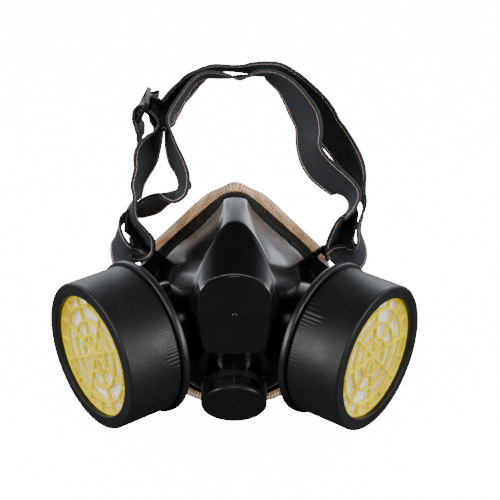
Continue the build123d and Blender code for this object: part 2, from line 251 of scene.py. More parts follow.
def tube_along(points, radius, sides=5, closed=False):
    """Verts and faces of a round tube through points."""
    verts = []
    count = len(points)
    normal = None
    for index, point in enumerate(points):
        ahead = points[(index + 1) % count] if closed or index + 1 < count else point
        behind = points[index - 1] if closed or index else point
        tangent = (ahead - behind).normalized()
        if normal is None:
            normal = tangent.orthogonal().normalized()
        normal = (normal - tangent * normal.dot(tangent)).normalized()
        side = tangent.cross(normal)
        for step in range(sides):
            angle = tau * step / sides
            verts.append(point + normal * (radius * cos(angle)) + side * (radius * sin(angle)))
    faces = grid_faces(count, sides, close_rows=closed)
    if not closed:
        faces += end_faces(count, sides)
    return verts, faces


def join_parts(parts):
    """One list of verts and faces from several."""
    verts, faces = [], []
    for part_verts, part_faces in parts:
        base = len(verts)
        verts += part_verts
        faces += [tuple(index + base for index in face) for face in part_faces]
    return verts, faces


def moved(matrix, part):
    return [matrix @ Vector(vert) for vert in part[0]], part[1]


# ---------------------------------------------------------------- materials
class Nodes:
    """Node tree of a material or a world, with short names for the nodes used here."""

    def __init__(self, owner):
        owner.use_nodes = True
        self.tree = owner.node_tree

    def fill(self, socket, value):
        """Give an input another node's output, or a value."""
        if isinstance(value, bpy.types.NodeSocket):
            self.tree.links.new(value, socket)
        elif isinstance(value, tuple):
            socket.default_value = (*value, 1)
        else:
            socket.default_value = value

    def add(self, kind, **values):
        """New node with its inputs filled or its properties set."""
        node = self.tree.nodes.new(kind)
        for name, value in values.items():
            if name in node.inputs:
                self.fill(node.inputs[name], value)
            else:
                setattr(node, name, value)
        return node

    def math(self, operation, *values):
        node = self.add("ShaderNodeMath", operation=operation)
        for socket, value in zip(node.inputs, values):
            self.fill(socket, value)
        return node.outputs[0]

    def times(self, first, second):
        return self.math("MULTIPLY", first, second)

    def plus(self, first, second):
        return self.math("ADD", first, second)

    def ribs(self, value, per_rib=1.0):
        """Round-topped ribs along a value."""
        return self.math("ABSOLUTE", self.math("SINE", self.times(value, pi / per_rib)))

    def span(self, value, low, high, from_low=0.0, from_high=1.0):
        """A value carried over from one range to another."""
        limits = {"From Min": from_low, "From Max": from_high, "To Min": low, "To Max": high}
        return self.add("ShaderNodeMapRange", Value=value, **limits).outputs["Result"]

    def mix(self, factor, first, second):
        """Colour between two colours."""
        node = self.add("ShaderNodeMix", data_type="RGBA", Factor=factor, A=first, B=second)
        return node.outputs["Result"]

    def axes(self, kind):
        """The X, Y and Z of one kind of texture coordinates."""
        source = self.add("ShaderNodeTexCoord").outputs[kind]
        return self.add("ShaderNodeSeparateXYZ", Vector=source).outputs

    def seen(self):
        """1 where the camera looks straight at a surface, 0 for its light and reflections."""
        return self.add("ShaderNodeLightPath").outputs["Is Camera Ray"]


class Look(Nodes):
    """Principled material being built."""

    def __init__(self, name, color, roughness, coat=0.0, sheen=0.0, specular=0.5):
        self.material = bpy.data.materials.new(name)
        super().__init__(self.material)
        self.shader = self.tree.nodes["Principled BSDF"]
        self.place = self.add("ShaderNodeTexCoord").outputs["Object"]
        self.shade("Base Color", color)
        self.shade("Roughness", roughness)
        self.shade("Coat Weight", coat)
        self.shade("Coat Roughness", 0.08)
        self.shade("Sheen Weight", sheen)
        self.shade("Specular IOR Level", specular)

    def shade(self, name, value):
        self.fill(self.shader.inputs[name], value)

    def noise(self, scale, detail, roughness=0.5):
        node = self.add("ShaderNodeTexNoise", Vector=self.place, Scale=scale, Detail=detail,
                        Roughness=roughness)
        return node.outputs["Fac"]

    def cells(self, scale):
        """Distance from the middle of each cell."""
        return self.add("ShaderNodeTexVoronoi", Vector=self.place, Scale=scale).outputs["Distance"]

    def glow(self, color, strength):
        """Emission. On thin, pale pieces it is painted light that stands in for the light they pass on from
        behind; on the floor it keeps the paper evenly bright.
        """
        self.shade("Emission Color", color)
        self.shade("Emission Strength", strength)

    def bump(self, height, strength, distance):
        node = self.add("ShaderNodeBump", Height=height, Strength=strength, Distance=distance)
        self.shade("Normal", node.outputs["Normal"])


def plastic(name, color, roughness, spread=0.06, grain=900.0, grain_depth=0.00004, specular=0.5,
            painted_shine_through=0.0):
    """Moulded plastic or rubber: fine grain, uneven roughness and a slight colour drift; a faint glow in its
    own colour, if asked for, is painted light for light shining through.
    """
    look = Look(name, color, roughness, specular=specular)
    # Painted light: an emission in the plastic's own colour stands in for light shining through it.
    look.glow(color, painted_shine_through)
    patches = look.noise(45.0, 5.0)
    look.shade("Roughness", look.span(patches, roughness - spread, roughness + spread, 0.3, 0.7))
    darker = tuple(channel * 0.8 for channel in color)
    lighter = tuple(min(channel * 1.15 + 0.002, 1) for channel in color)
    look.shade("Base Color", look.mix(look.span(look.noise(90.0, 3.0), 0, 1, 0.35, 0.65), darker, lighter))
    look.bump(look.noise(grain, 2.0), 0.5, grain_depth)
    return look.material


def pvc_material():
    """Glossy black moulding with a soft orange-peel surface."""
    look = Look("glossy_pvc", (0.0035, 0.0035, 0.004), 0.2, coat=0.3)
    look.shade("Roughness", look.span(look.noise(35.0, 5.0), 0.16, 0.28, 0.3, 0.7))
    look.bump(look.plus(look.noise(60.0, 2.0), look.times(look.noise(1400.0, 2.0), 0.06)), 0.35, 0.0004)
    return look.material


def sleeve_material():
    """Satin rubber, slightly uneven in tone and gloss."""
    look = Look("sleeve_rubber", (0.008, 0.009, 0.011), 0.42, specular=0.32)
    look.shade("Roughness", look.span(look.noise(30.0, 6.0, 0.6), 0.36, 0.54, 0.3, 0.7))
    tint = look.span(look.noise(22.0, 5.0), 0, 1, 0.3, 0.7)
    look.shade("Base Color", look.mix(tint, (0.005, 0.0055, 0.0065), (0.011, 0.012, 0.014)))
    look.bump(look.plus(look.noise(1100.0, 2.0), look.times(look.noise(120.0, 4.0), 1.4)), 0.5, 0.00012)
    return look.material


WALES = 24
SEAM_WALE = 20.2


def knit_material():
    """Peach knit with painted shade between its stitches, painted highlights as sparkle and a painted glow;
    U counts stitches along the roll, V counts wales round it.
    """
    look = Look("tan_knit", (0.8, 0.4, 0.12), 0.6, specular=0.3)
    # Painted light: the knit glows, and its emission takes the knit's finished colour below.
    look.glow((1.0, 0.8, 0.6), 0.4)
    axes = look.axes("UV")
    stitch = look.ribs(axes["X"])
    relief = look.times(stitch, look.plus(look.times(look.ribs(axes["Y"]), 0.5), 0.5))
    fuzz = look.noise(1500.0, 3.0)
    look.bump(look.plus(relief, look.times(fuzz, 0.5)), 0.9, 0.0005)
    # Painted shade: the colour darkens where the stitch relief is low, in the hollows between stitches, with
    # random fuzz in the tone.
    shade = look.plus(look.times(relief, 0.75), look.times(fuzz, 0.35))
    base = look.mix(look.span(shade, 0, 1, 0.25, 0.85), (0.24, 0.09, 0.03), (1.0, 0.72, 0.44))
    off_seam = look.math("ABSOLUTE", look.math("SUBTRACT", axes["Y"], SEAM_WALE))
    seam = look.times(look.span(off_seam, 1, 0, 0.4, 1.1), look.span(stitch, 0, 1, 0.2, 0.7))
    # Painted highlight: small cells of pale colour stand in for sparkle on the fibres.
    painted_sparkle = look.math("LESS_THAN", look.cells(1500.0), 0.26)
    color = look.mix(look.math("MAXIMUM", seam, painted_sparkle), base, (1.0, 0.87, 0.68))
    look.shade("Base Color", color)
    # Painted light: the knit emits its own finished colour, painted sparkle included.
    look.shade("Emission Color", color)
    return look.material


def cloth_material(name, dark, light):
    """Fine woven cloth in two tones."""
    look = Look(name, dark, 0.8, specular=0.25)
    weave = look.noise(1600.0, 2.0)
    mixed = look.times(weave, look.noise(160.0, 4.0))
    look.shade("Base Color", look.mix(look.span(mixed, 0, 1, 0.12, 0.42), dark, light))
    look.bump(weave, 0.9, 0.0003)
    return look.material


def webbing_material():
    """Black elastic webbing: fine cross ribs, lengthwise yarns and a slight sheen."""
    look = Look("black_webbing", (0.006, 0.006, 0.007), 0.7, sheen=0.04, specular=0.3)
    axes = look.axes("UV")
    rib = look.ribs(axes["X"], 0.9)
    yarn = look.ribs(axes["Y"], 1.1)
    fuzz = look.noise(1800.0, 3.0)
    weave = look.plus(look.times(rib, 0.7), look.times(yarn, 0.35))
    look.bump(look.plus(weave, look.times(fuzz, 0.3)), 0.7, 0.00022)
    # Painted shade: the colour darkens in the grooves between ribs and yarns, with random fuzz in the tone.
    shade = look.span(look.times(look.plus(rib, yarn), look.plus(fuzz, 0.3)), 0, 1, 0.2, 1.5)
    look.shade("Roughness", look.span(look.noise(25.0, 3.0), 0.6, 0.82, 0.3, 0.7))
    look.shade("Base Color", look.mix(shade, (0.005, 0.005, 0.006), (0.042, 0.046, 0.056)))
    return look.material


def thread_material(name, color, tip):
    look = Look(name, color, 0.6)
    twist = look.noise(900.0, 3.0)
    look.shade("Base Color", look.mix(look.span(twist, 0, 1, 0.35, 0.65), color, tip))
    look.bump(twist, 0.8, 0.0002)
    return look.material


def felt_material():
    """White needled felt with soft fibres, which glows a little as painted light."""
    look = Look("white_felt", (0.86, 0.86, 0.83), 0.92, sheen=0.4)
    # Painted light: a faint emission stands in for light passing through the felt.
    look.glow((1.0, 0.98, 0.9), 0.22)
    tone = look.plus(look.times(look.noise(700.0, 6.0, 0.7), 0.6), look.times(look.noise(130.0, 4.0), 0.4))
    tint = look.span(tone, 0, 1, 0.3, 0.7)
    look.shade("Base Color", look.mix(tint, (0.72, 0.72, 0.69), (0.93, 0.93, 0.91)))
    look.bump(tone, 0.8, 0.0006)
    return look.material


def granule_material():
    """Black carbon granules."""
    look = Look("carbon_granules", (0.01, 0.01, 0.01), 0.55)
    grains = look.cells(650.0)
    look.shade("Base Color", look.mix(grains, (0.02, 0.02, 0.021), (0.003, 0.003, 0.003)))
    look.bump(grains, 1.0, 0.001)
    return look.material


PVC = pvc_material()
SLEEVE = sleeve_material()
KNIT = knit_material()
BINDING = cloth_material("binding_cloth", (0.002, 0.002, 0.002), (0.02, 0.016, 0.012))
WEBBING = webbing_material()
TAN_THREAD = thread_material("tan_thread", (0.55, 0.36, 0.25), (0.95, 0.72, 0.55))
EDGE_THREAD = thread_material("seam_thread", (0.8, 0.4, 0.14), (1.0, 0.72, 0.4))
DARK_THREAD = thread_material("overlock_thread", (0.07, 0.028, 0.012), (0.2, 0.1, 0.045))
# The yellow guard glows a little: painted light, an emission standing in for light through the plastic.
YELLOW = plastic("yellow_plastic", (1.0, 0.76, 0.0), 0.42, 0.05, 700.0, 0.00003, specular=0.15,
                 painted_shine_through=0.09)
BAND_PLASTIC = plastic("canister_plastic", (0.009, 0.01, 0.012), 0.36)
COVER_PLASTIC = plastic("cover_plastic", (0.008, 0.008, 0.009), 0.36)
INNER_PLASTIC = plastic("neck_plastic", (0.008, 0.008, 0.008), 0.45)
BUCKLE_PLASTIC = plastic("buckle_plastic", (0.003, 0.007, 0.005), 0.5, specular=0.25)
GASKET = plastic("gasket_rubber", (0.015, 0.015, 0.015), 0.6)
SILICONE = plastic("silicone", (0.03, 0.03, 0.03), 0.35)
SCREEN = plastic("screen_plastic", (0.45, 0.45, 0.43), 0.5)
FELT = felt_material()
CARBON = granule_material()


def repaint(node, material):
    """Give a CAD node its finished material."""
    cad_object = frame["nodes"][node]
    cad_object.data.materials.clear()
    cad_object.data.materials.append(material)


# ---------------------------------------------------------------- facepiece
# Control cage, right-hand half of each ring from the nose round to the chin.
EDGE_RING = [(0, 39, 116), (7, 40, 113.2), (15, 42, 106.3), (27.5, 44, 93.5), (38, 46, 82.5),
             (48, 47, 72), (52, 44, 59), (52, 35, 41), (46, 18, 22), (37, 7, 14),
             (21, -4, 8.2), (0, -8.5, 7)]
BAND_RING = [(0, 33, 116), (6.2, 33, 114.8), (12, 32, 104), (21, 33, 94), (29, 35, 86),
             (39, 36, 77), (46, 34, 62), (48.5, 28.5, 41), (42.5, 10.5, 23), (34, 0, 17),
             (19, -10, 11.5), (0, -15, 10.5)]
SHOULDER_RING = [(0, 18, 115), (5.8, 18, 114.2), (11.5, 16, 106.5), (20, 12, 98.5), (28, 8, 90.5),
                 (37, 6, 80), (42, 6, 64), (43, 3, 46), (38, -4, 29), (30, -9, 22),
                 (17, -17, 15.5), (0, -21, 14)]
BROW_RING = [(0, 3, 113), (5.6, 2, 112), (11.3, -5, 107.3), (16.5, -12, 100.2), (20, -20, 92.5),
             (22.5, -27, 85), (25, -26, 72), (25.5, -27, 57), (24, -27, 44), (20, -26, 37),
             (11, -26, 34.5), (0, -26.5, 34)]
PANEL_RING = [(0, -29, 96.6), (6, -29, 95.8), (11.6, -29, 93.8), (17, -29, 90.6), (20.4, -29.2, 86.8),
              (20.8, -29.8, 79.5), (20.2, -31.3, 71), (19.2, -33.4, 62), (18, -35, 54), (15.5, -35.6, 51.2),
              (8, -36, 50.9), (0, -36, 50.9)]
WALL = 2.3
PANEL_CENTRE = Vector((0, -32.6, 73.5))
PANEL_NORMAL = Vector((0, -0.988, 0.152))
PANEL_STEPS = [(0.99, 1.2), (0.955, 1.9), (0.92, 1.75), (0.62, 1.95), (0.25, 2.05)]

BOSS_DEPTH = 13.0
SOCKET_R = 27.0
SOCKET_BORE_R = 24.5
SOCKET_FACE = -2.5
SOCKET_DEPTH = 19.0
NECK_R = 18.1
BOSS_R = 17.1
BOSS_BORE_R = 14.5
BOSS_FACE = -12.2
COVER_DEPTH = 12.5
COVER_R = 18.5
EAR_LENGTH = 31.5
EAR_THICKNESS = 3.4
EAR_BAR = 3.6
SLOT_LENGTH = 26.0
SLOT_HEIGHT = 5.0
EAR_ROOT = 12.0


def whole_ring(half):
    right = [Vector(point) for point in half]
    left = [Vector((-point.x, point.y, point.z)) for point in right[-2:0:-1]]
    return right + left


def facepiece_cage():
    """Cage object of the moulded shell, before thickness and openings."""
    rings = [whole_ring(line) for line in (EDGE_RING, BAND_RING, SHOULDER_RING, BROW_RING, PANEL_RING)]
    outline = rings[-1]
    for share, height in PANEL_STEPS:
        rings.append([PANEL_CENTRE + (point - PANEL_CENTRE) * share + PANEL_NORMAL * height
                      for point in outline])
    columns = len(outline)
    verts = [point for ring in rings for point in ring]
    faces = [tuple(reversed(face)) for face in grid_faces(len(rings), columns)]
    verts.append(PANEL_CENTRE + PANEL_NORMAL * PANEL_STEPS[-1][1])
    last = (len(rings) - 1) * columns
    for column in range(columns):
        faces.append((last + (column + 1) % columns, last + column, len(verts) - 1))
    cage = mesh_object("facepiece_shell", verts, faces)
    crease_cage(cage.data, columns)
    return cage


def crease_cage(mesh, columns):
    """Crisp edges: nose ridge, brow outline and the panel's rim."""
    crease = mesh.attributes.new("crease_edge", "FLOAT", "EDGE")
    brow, panel, rim, face_edge = 3, 4, 5, 6
    ridge, arch_end, lower_corner = 1, 5, 8
    for edge in mesh.edges:
        rows = sorted(index // columns for index in edge.vertices)
        places = [index % columns for index in edge.vertices]
        mirrored = [min(place, columns - place) for place in places]
        value = 0.0
        if rows[0] == rows[1]:
            if rows[0] == brow:
                value = 0.85 if max(mirrored) <= arch_end else 0.45
            elif rows[0] == panel:
                value = 0.95
            elif rows[0] == rim:
                value = 0.5
            elif rows[0] == face_edge:
                value = 0.35
        elif mirrored[0] == mirrored[1] == ridge and rows[1] < brow:
            value = 0.45
        elif mirrored[0] == mirrored[1] == lower_corner and rows == [brow, panel]:
            value = 0.7
        crease.data[edge.index].value = value


def apply_modifiers(piece):
    """Replace the mesh by its evaluated form."""
    bpy.context.view_layer.update()
    evaluated = piece.evaluated_get(bpy.context.evaluated_depsgraph_get())
    mesh = bpy.data.meshes.new_from_object(evaluated)
    piece.modifiers.clear()
    piece.data = mesh
    return piece


def raw_object(name, part):
    """Object for a cut: its faces turned outward, no material."""
    piece = mesh_object(name, *part)
    clean_mesh(piece.data)
    return piece


def cut(piece, tool, operation):
    modifier = piece.modifiers.new("cut", "BOOLEAN")
    modifier.operation = operation
    modifier.object = tool
    modifier.solver = "EXACT"
    apply_modifiers(piece)
    bpy.data.objects.remove(tool, do_unlink=True)


def plug(radius, low, high, segments=96):
    """Closed round bar along local Z."""
    verts = []
    for height in (low, high):
        for step in range(segments):
            verts.append(spun(radius, tau * step / segments, height))
    return verts, grid_faces(2, segments) + end_faces(2, segments)


def socket_ring():
    """Round socket on the shell's side, closed by a flange with the neck's hole."""
    flange_back = SOCKET_FACE - 2.5
    profile = rounded([
        (SOCKET_R, -SOCKET_DEPTH, 0.1), (SOCKET_R, SOCKET_FACE, 1.6), (NECK_R, SOCKET_FACE, 0.3),
        (NECK_R, flange_back, 0.3), (SOCKET_BORE_R, flange_back, 0.4),
        (SOCKET_BORE_R, -SOCKET_DEPTH, 0.1)], 0.5)
    return lathe(profile, 128)


def boss_ring():
    back = BOSS_FACE - BOSS_DEPTH
    profile = rounded([(BOSS_R, back, 0.1), (BOSS_R, BOSS_FACE, 0.5), (BOSS_BORE_R, BOSS_FACE, 0.3),
                       (BOSS_BORE_R, back, 0.1)], 0.4)
    return lathe(profile, 96)


def rounded_outline(width, height, radius, steps=6):
    """Rounded rectangle about the origin."""
    points = []
    for turn, (side_x, side_y) in enumerate(((1, 1), (-1, 1), (-1, -1), (1, -1))):
        centre = Vector((side_x * (width / 2 - radius), side_y * (height / 2 - radius), 0))
        for step in range(steps + 1):
            angle = radians(90 * turn + 90 * step / steps)
            points.append(centre + Vector((cos(angle), sin(angle), 0)) * radius)
    return points


def holed_plate(outer, inner, thickness, edge):
    """Plate between two outlines with the same number of points, with softened edges."""
    def grown(points, centre, amount):
        return [point + (point - centre).normalized() * amount for point in points]

    centre = sum(inner, Vector()) / len(inner)
    half = thickness / 2
    corner = [(0, half - edge), (edge * 0.3, half - edge * 0.3), (edge, half)]
    front_out = [(outer, -amount, height) for amount, height in corner]
    front_in = [(inner, amount, height) for amount, height in reversed(corner)]
    back_in = [(inner, amount, -height) for amount, height in corner]
    back_out = [(outer, -amount, -height) for amount, height in reversed(corner)]
    rings = []
    for points, amount, height in front_out + front_in + back_in + back_out:
        rings.append([point + Vector((0, 0, height)) for point in grown(points, centre, amount)])
    verts = [point for ring in rings for point in ring]
    return verts, grid_faces(len(rings), len(outer), close_rows=True)


def strap_ear():
    low = -SLOT_HEIGHT / 2 - EAR_ROOT
    high = SLOT_HEIGHT / 2 + EAR_BAR
    shift = Vector((0, (low + high) / 2, 0))
    outer = [point + shift for point in rounded_outline(EAR_LENGTH, high - low, 3.2)]
    inner = rounded_outline(SLOT_LENGTH, SLOT_HEIGHT, 1.6)
    return holed_plate(outer, inner, EAR_THICKNESS, 0.7)


def make_facepiece():
    shell = facepiece_cage()
    wall = shell.modifiers.new("wall", "SOLIDIFY")
    wall.thickness = WALL * MM
    wall.offset = -1
    wall.use_even_offset = False
    smooth = shell.modifiers.new("smooth", "SUBSURF")
    smooth.levels = 3
    smooth.render_levels = 3
    apply_modifiers(shell)
    surface = BVHTree.FromObject(shell, bpy.context.evaluated_depsgraph_get())
    for side_name, side in SIDES.items():
        port = port_matrix(side_name)
        hole = raw_object("hole", moved(port, plug(SOCKET_BORE_R + 0.3, -SOCKET_DEPTH + 0.2, 12)))
        cut(shell, hole, "DIFFERENCE")
        cut(shell, raw_object("ear", moved(ear_matrix(side), strap_ear())), "UNION")
        cut(shell, raw_object("socket", moved(port, socket_ring())), "UNION")
    valve = valve_matrix()
    cut(shell, raw_object("hole", moved(valve, plug(BOSS_BORE_R + 0.3, -32, 5))), "DIFFERENCE")
    cut(shell, raw_object("boss", moved(valve, boss_ring())), "UNION")
    finish_piece(shell, PVC, "facepiece", ["facepiece"], 40)
    return surface


def mould_mark():
    """Small round gate mark in the middle of the front panel."""
    profile = [(0.02, 0.0), (1.3, 0.0), (1.15, 0.35), (0.7, 0.62), (0.02, 0.7)]
    place = frame_matrix(PANEL_CENTRE + PANEL_NORMAL * 1.9, (1, 0, 0), PANEL_NORMAL)
    verts, faces = moved(place, lathe(profile, 20))
    make_piece("mould_mark", verts, faces, PVC, "facepiece")


# ---------------------------------------------------------------- face seal and its binding
ROLL_R = 3.8
ROLL_BACK = 4.0
ROLL_SET = 1.3
FLOOR_GAP = 0.35
LINE_STEP = 0.34
STITCH = 1.7
BAND_MIDDLE_Z = 60


def seal_line():
    """Middle of the knit roll, evenly spaced."""
    points = []
    for edge, inboard in zip(whole_ring(EDGE_RING), whole_ring(BAND_RING)):
        points.append(edge + (edge - inboard).normalized() * ROLL_BACK)
    return resample(catmull(points, 14, closed=True), LINE_STEP, closed=True)


def make_seal():
    """Padded knit roll, its stitches standing up in rows round it, held off the floor at the chin."""
    line = seal_line()
    count = len(line)
    middle = sum(line, Vector()) / count
    sides = 30
    verts, uvs = [], []
    for index, point in enumerate(line):
        tangent = (line[(index + 1) % count] - line[index - 1]).normalized()
        outward = point - middle
        outward = (outward - tangent * outward.dot(tangent)).normalized()
        back = tangent.cross(outward)
        if back.y < 0:
            back = -back
        along = index * LINE_STEP
        for step in range(sides):
            angle = tau * step / sides
            lump = noise.noise(point * 0.09 + Vector((0, 0, step * 0.05))) * 0.35
            stitch = abs(sin(pi * along / STITCH)) * 0.4
            radius = ROLL_R - 0.2 + lump + stitch
            rise = ROLL_SET + radius * 0.95 * sin(angle)
            vert = point + outward * (radius * cos(angle)) + back * rise
            vert.z = max(vert.z, FLOOR_GAP)
            verts.append(vert)
            uvs.append((along / STITCH, step * WALES / sides))
    faces = grid_faces(count, sides, close_rows=True)
    seal = make_piece("knit_face_seal", verts, faces, KNIT, "facepiece", ["face_seal"], 80, uvs)


def band_point(surface, near, far, share, lift):
    """Point on the shell between two lines, lifted off the surface."""
    place = near.lerp(far, share)
    hit, normal, _, _ = surface.find_nearest(place * MM)
    outward = (place - Vector((0, place.y, BAND_MIDDLE_Z))).normalized()
    if normal.dot(outward) < 0:
        normal = -normal
    return hit / MM + normal * lift


def make_binding(surface):
    edge = catmull(whole_ring(EDGE_RING), 16, closed=True)
    inboard = catmull(whole_ring(BAND_RING), 16, closed=True)
    shares = [-0.12, 0.0, 0.12, 0.35, 0.6, 0.82, 0.96, 1.04]
    lifts = [0.8, 1.4, 1.6, 1.4, 1.2, 0.95, 0.6, -0.2]
    verts = []
    for index, (near, far) in enumerate(zip(edge, inboard)):
        for share, lift in zip(shares, lifts):
            wave = noise.noise(Vector((index * 0.13, share * 3, 0))) * 0.18
            verts.append(band_point(surface, near, far, share, lift + wave))
        for share in reversed(shares):
            verts.append(band_point(surface, near, far, share, -0.6))
    faces = grid_faces(len(edge), 2 * len(shares), close_rows=True)
    make_piece("seal_binding_band", verts, faces, BINDING, "facepiece",
               ["seal_binding"], 60)
    make_overlock(surface, edge, inboard)


def make_overlock(surface, edge, inboard):
    """Zigzag thread over the binding and a row of short stitches on the knit's seam."""
    fine_edge = resample(edge, 1.15, closed=True)
    zigzag = []
    for index, near in enumerate(fine_edge):
        target = min(inboard, key=lambda point: (point - near).length)
        share = 0.08 if index % 2 else 0.55
        zigzag.append(band_point(surface, near, target, share, 1.6))
    verts, faces = tube_along(zigzag, 0.26, closed=True)
    make_piece("overlock_thread", verts, faces, DARK_THREAD, "facepiece", smooth_angle=80)
    stitches = []
    for near in resample(edge, 1.5, closed=True):
        target = min(inboard, key=lambda point: (point - near).length)
        start = band_point(surface, near, target, 0.1, 1.5)
        outward = (near - Vector((0, near.y, BAND_MIDDLE_Z))).normalized()
        end = near + (near - target).normalized() * 2.6 + outward * 3.6
        bend = start.lerp(end, 0.5) + outward * 0.9
        stitches.append(tube_along([start, bend, end], 0.3))
    verts, faces = join_parts(stitches)
    make_piece("seam_stitches", verts, faces, EDGE_THREAD, "facepiece", smooth_angle=80)


# ---------------------------------------------------------------- canisters
CANISTER_R = 43.0
BAND_R = 45.0
CUP_R = 40.0
CUP_END = 30.0
CANISTER_DEPTH = 38.0
GRILLE_OPENING_R = 35.5
SLEEVE_START = 4.8
GRILLE_START, GRILLE_END = 32.6, 34.9
GRILLE_RINGS = (11.3, 19.8, 28.3)
GRILLE_RIM_R = 34.2
GRILLE_TURN = {"left": 29.0, "right": 0.0}
RIM_FOOT = 29.9
RIM_STEP = 31.4
FELT_BACK, FELT_EDGE, FELT_CROWN = 24.2, 28.9, 31.2
RIB_WIDTH = 1.7


def make_base(side_name):
    """Back plate with its wide band, collar and cup wall."""
    port = port_matrix(side_name)
    neck = NECK_R + 0.1
    profile = rounded([
        (neck, 0, 0.3), (BAND_R - 2.4, 0, 0.6), (BAND_R, 0.4, 1.2), (BAND_R, 4.2, 1.0), (CUP_R, 4.2, 0.2),
        (CUP_R, CUP_END, 0.5), (CUP_R - 1.5, CUP_END, 0.5), (CUP_R - 1.5, 3, 0.4), (NECK_R + 3, 3, 0.4),
        (NECK_R + 3, 7, 0.4), (neck, 7, 0.4)], 0.4)
    verts, faces = moved(port, lathe(profile, 160))
    make_piece(f"canister_body_{side_name}", verts, faces, BAND_PLASTIC, f"canister_{side_name}",
               [f"canister_base_{side_name}"], 40)


def make_sleeve(side_name):
    """Rubber sleeve: fine lengthwise creases near its back edge, a flat lip and a soft front corner."""
    port = port_matrix(side_name)
    seed = 3.1 if side_name == "left" else 11.7
    inner = CUP_R + 0.12
    outline = [(inner, SLEEVE_START), (CANISTER_R - 0.8, SLEEVE_START), (CANISTER_R, SLEEVE_START + 0.8)]
    rows = 44
    for row in range(1, rows):
        outline.append((CANISTER_R, SLEEVE_START + 0.8 + (CANISTER_DEPTH - 2.4 - SLEEVE_START) * row / rows))
    outline += arc((CANISTER_R - 1.6, CANISTER_DEPTH - 1.6), 1.6, 0, 90, 6)
    outline += [(CANISTER_R - 3.2, CANISTER_DEPTH), (GRILLE_OPENING_R + 1.2, CANISTER_DEPTH)]
    outline += arc((GRILLE_OPENING_R + 0.8, CANISTER_DEPTH - 0.8), 0.8, 90, 180, 4)
    outline += [(GRILLE_OPENING_R, 35.2), (GRILLE_OPENING_R + 0.3, 35.0), (inner, 35.0)]

    def creased(radius, height, angle):
        if radius < CANISTER_R - 0.01 or height > CANISTER_DEPTH - 2:
            return radius, height
        depth = (height - SLEEVE_START) / (CANISTER_DEPTH - SLEEVE_START)
        reach = 0.28 + 0.3 * noise.noise(Vector((cos(angle) * 6, sin(angle) * 6, seed)))
        fade = max(0.0, min(1.0, (reach - depth) / 0.12))
        cluster = max(0.0, noise.noise(Vector((cos(angle) * 3.1, sin(angle) * 3.1, seed + 5))) + 0.28)
        lines = abs(sin(angle * 64 + 2.5 * sin(angle * 7) + seed)) ** 0.6
        sag = noise.noise(Vector((cos(angle) * 2, sin(angle) * 2, height * 0.05 + seed))) * 0.12
        return radius - 0.32 * (1 - lines) * fade * min(1, cluster * 1.8) - 0.08 + sag, height

    verts, faces = moved(port, lathe(outline, 640, creased))
    make_piece(f"rubber_sleeve_{side_name}", verts, faces, SLEEVE, f"sleeve_{side_name}",
               [f"canister_sleeve_{side_name}"], 45)


def rib_ring(radius, width, low, high, segments=128):
    """Round rib with softened front edges."""
    half = width / 2
    profile = rounded([(radius + half, low, 0.1), (radius + half * 0.86, high, 0.55),
                       (radius - half * 0.86, high, 0.55), (radius - half, low, 0.1)], 0.4)
    return lathe(profile, segments)


def rib_bar(start, end, width, low, high, angle):
    """Straight rib between two radii, with softened front edges."""
    half = width / 2
    section = rounded([(half, low, 0.05), (half * 0.86, high, 0.55), (-half * 0.86, high, 0.55),
                       (-half, low, 0.05)], 0.4)
    verts = []
    for radius in (start, end):
        for across, height in section:
            verts.append(Vector((radius * cos(angle) - across * sin(angle),
                                 radius * sin(angle) + across * cos(angle), height)))
    return verts, grid_faces(2, len(section)) + end_faces(2, len(section))


def make_grille(side_name):
    """Yellow guard: three rings, eight long ribs, sixteen short ones at the deep rim and a small hub."""
    turned = port_matrix(side_name) @ Matrix.Rotation(radians(GRILLE_TURN[side_name]), 4, "Z")
    parts = []
    rim_profile = rounded([(CUP_R, RIM_STEP, 0.3), (CUP_R, GRILLE_END, 0.3), (GRILLE_RIM_R, GRILLE_END, 0.6),
                           (GRILLE_RIM_R, RIM_FOOT, 0.2), (CUP_R - 1.6, RIM_FOOT, 0.2),
                           (CUP_R - 1.6, RIM_STEP, 0.1)], 0.4)
    parts.append(lathe(rim_profile, 160))
    for ring_r in GRILLE_RINGS:
        parts.append(rib_ring(ring_r, RIB_WIDTH, GRILLE_START, GRILLE_END))
    hub = rounded([(0.05, GRILLE_START, 0.02), (3.8, GRILLE_START, 0.1), (3.5, GRILLE_END, 0.7),
                   (0.05, GRILLE_END + 0.2, 0.02)], 0.3)
    parts.append(lathe(hub, 48))
    low, high = GRILLE_START + 0.02, GRILLE_END - 0.03
    for index in range(8):
        parts.append(rib_bar(3.0, GRILLE_RINGS[-1], RIB_WIDTH, low, high, tau * index / 8))
    for index in range(16):
        parts.append(rib_bar(GRILLE_RINGS[-1], GRILLE_RIM_R + 1, RIB_WIDTH, low, high, tau * index / 16))
    verts, faces = moved(turned, join_parts(parts))
    make_piece(f"yellow_grille_{side_name}", verts, faces, YELLOW, f"sleeve_{side_name}",
               [f"canister_grille_{side_name}"], 40)


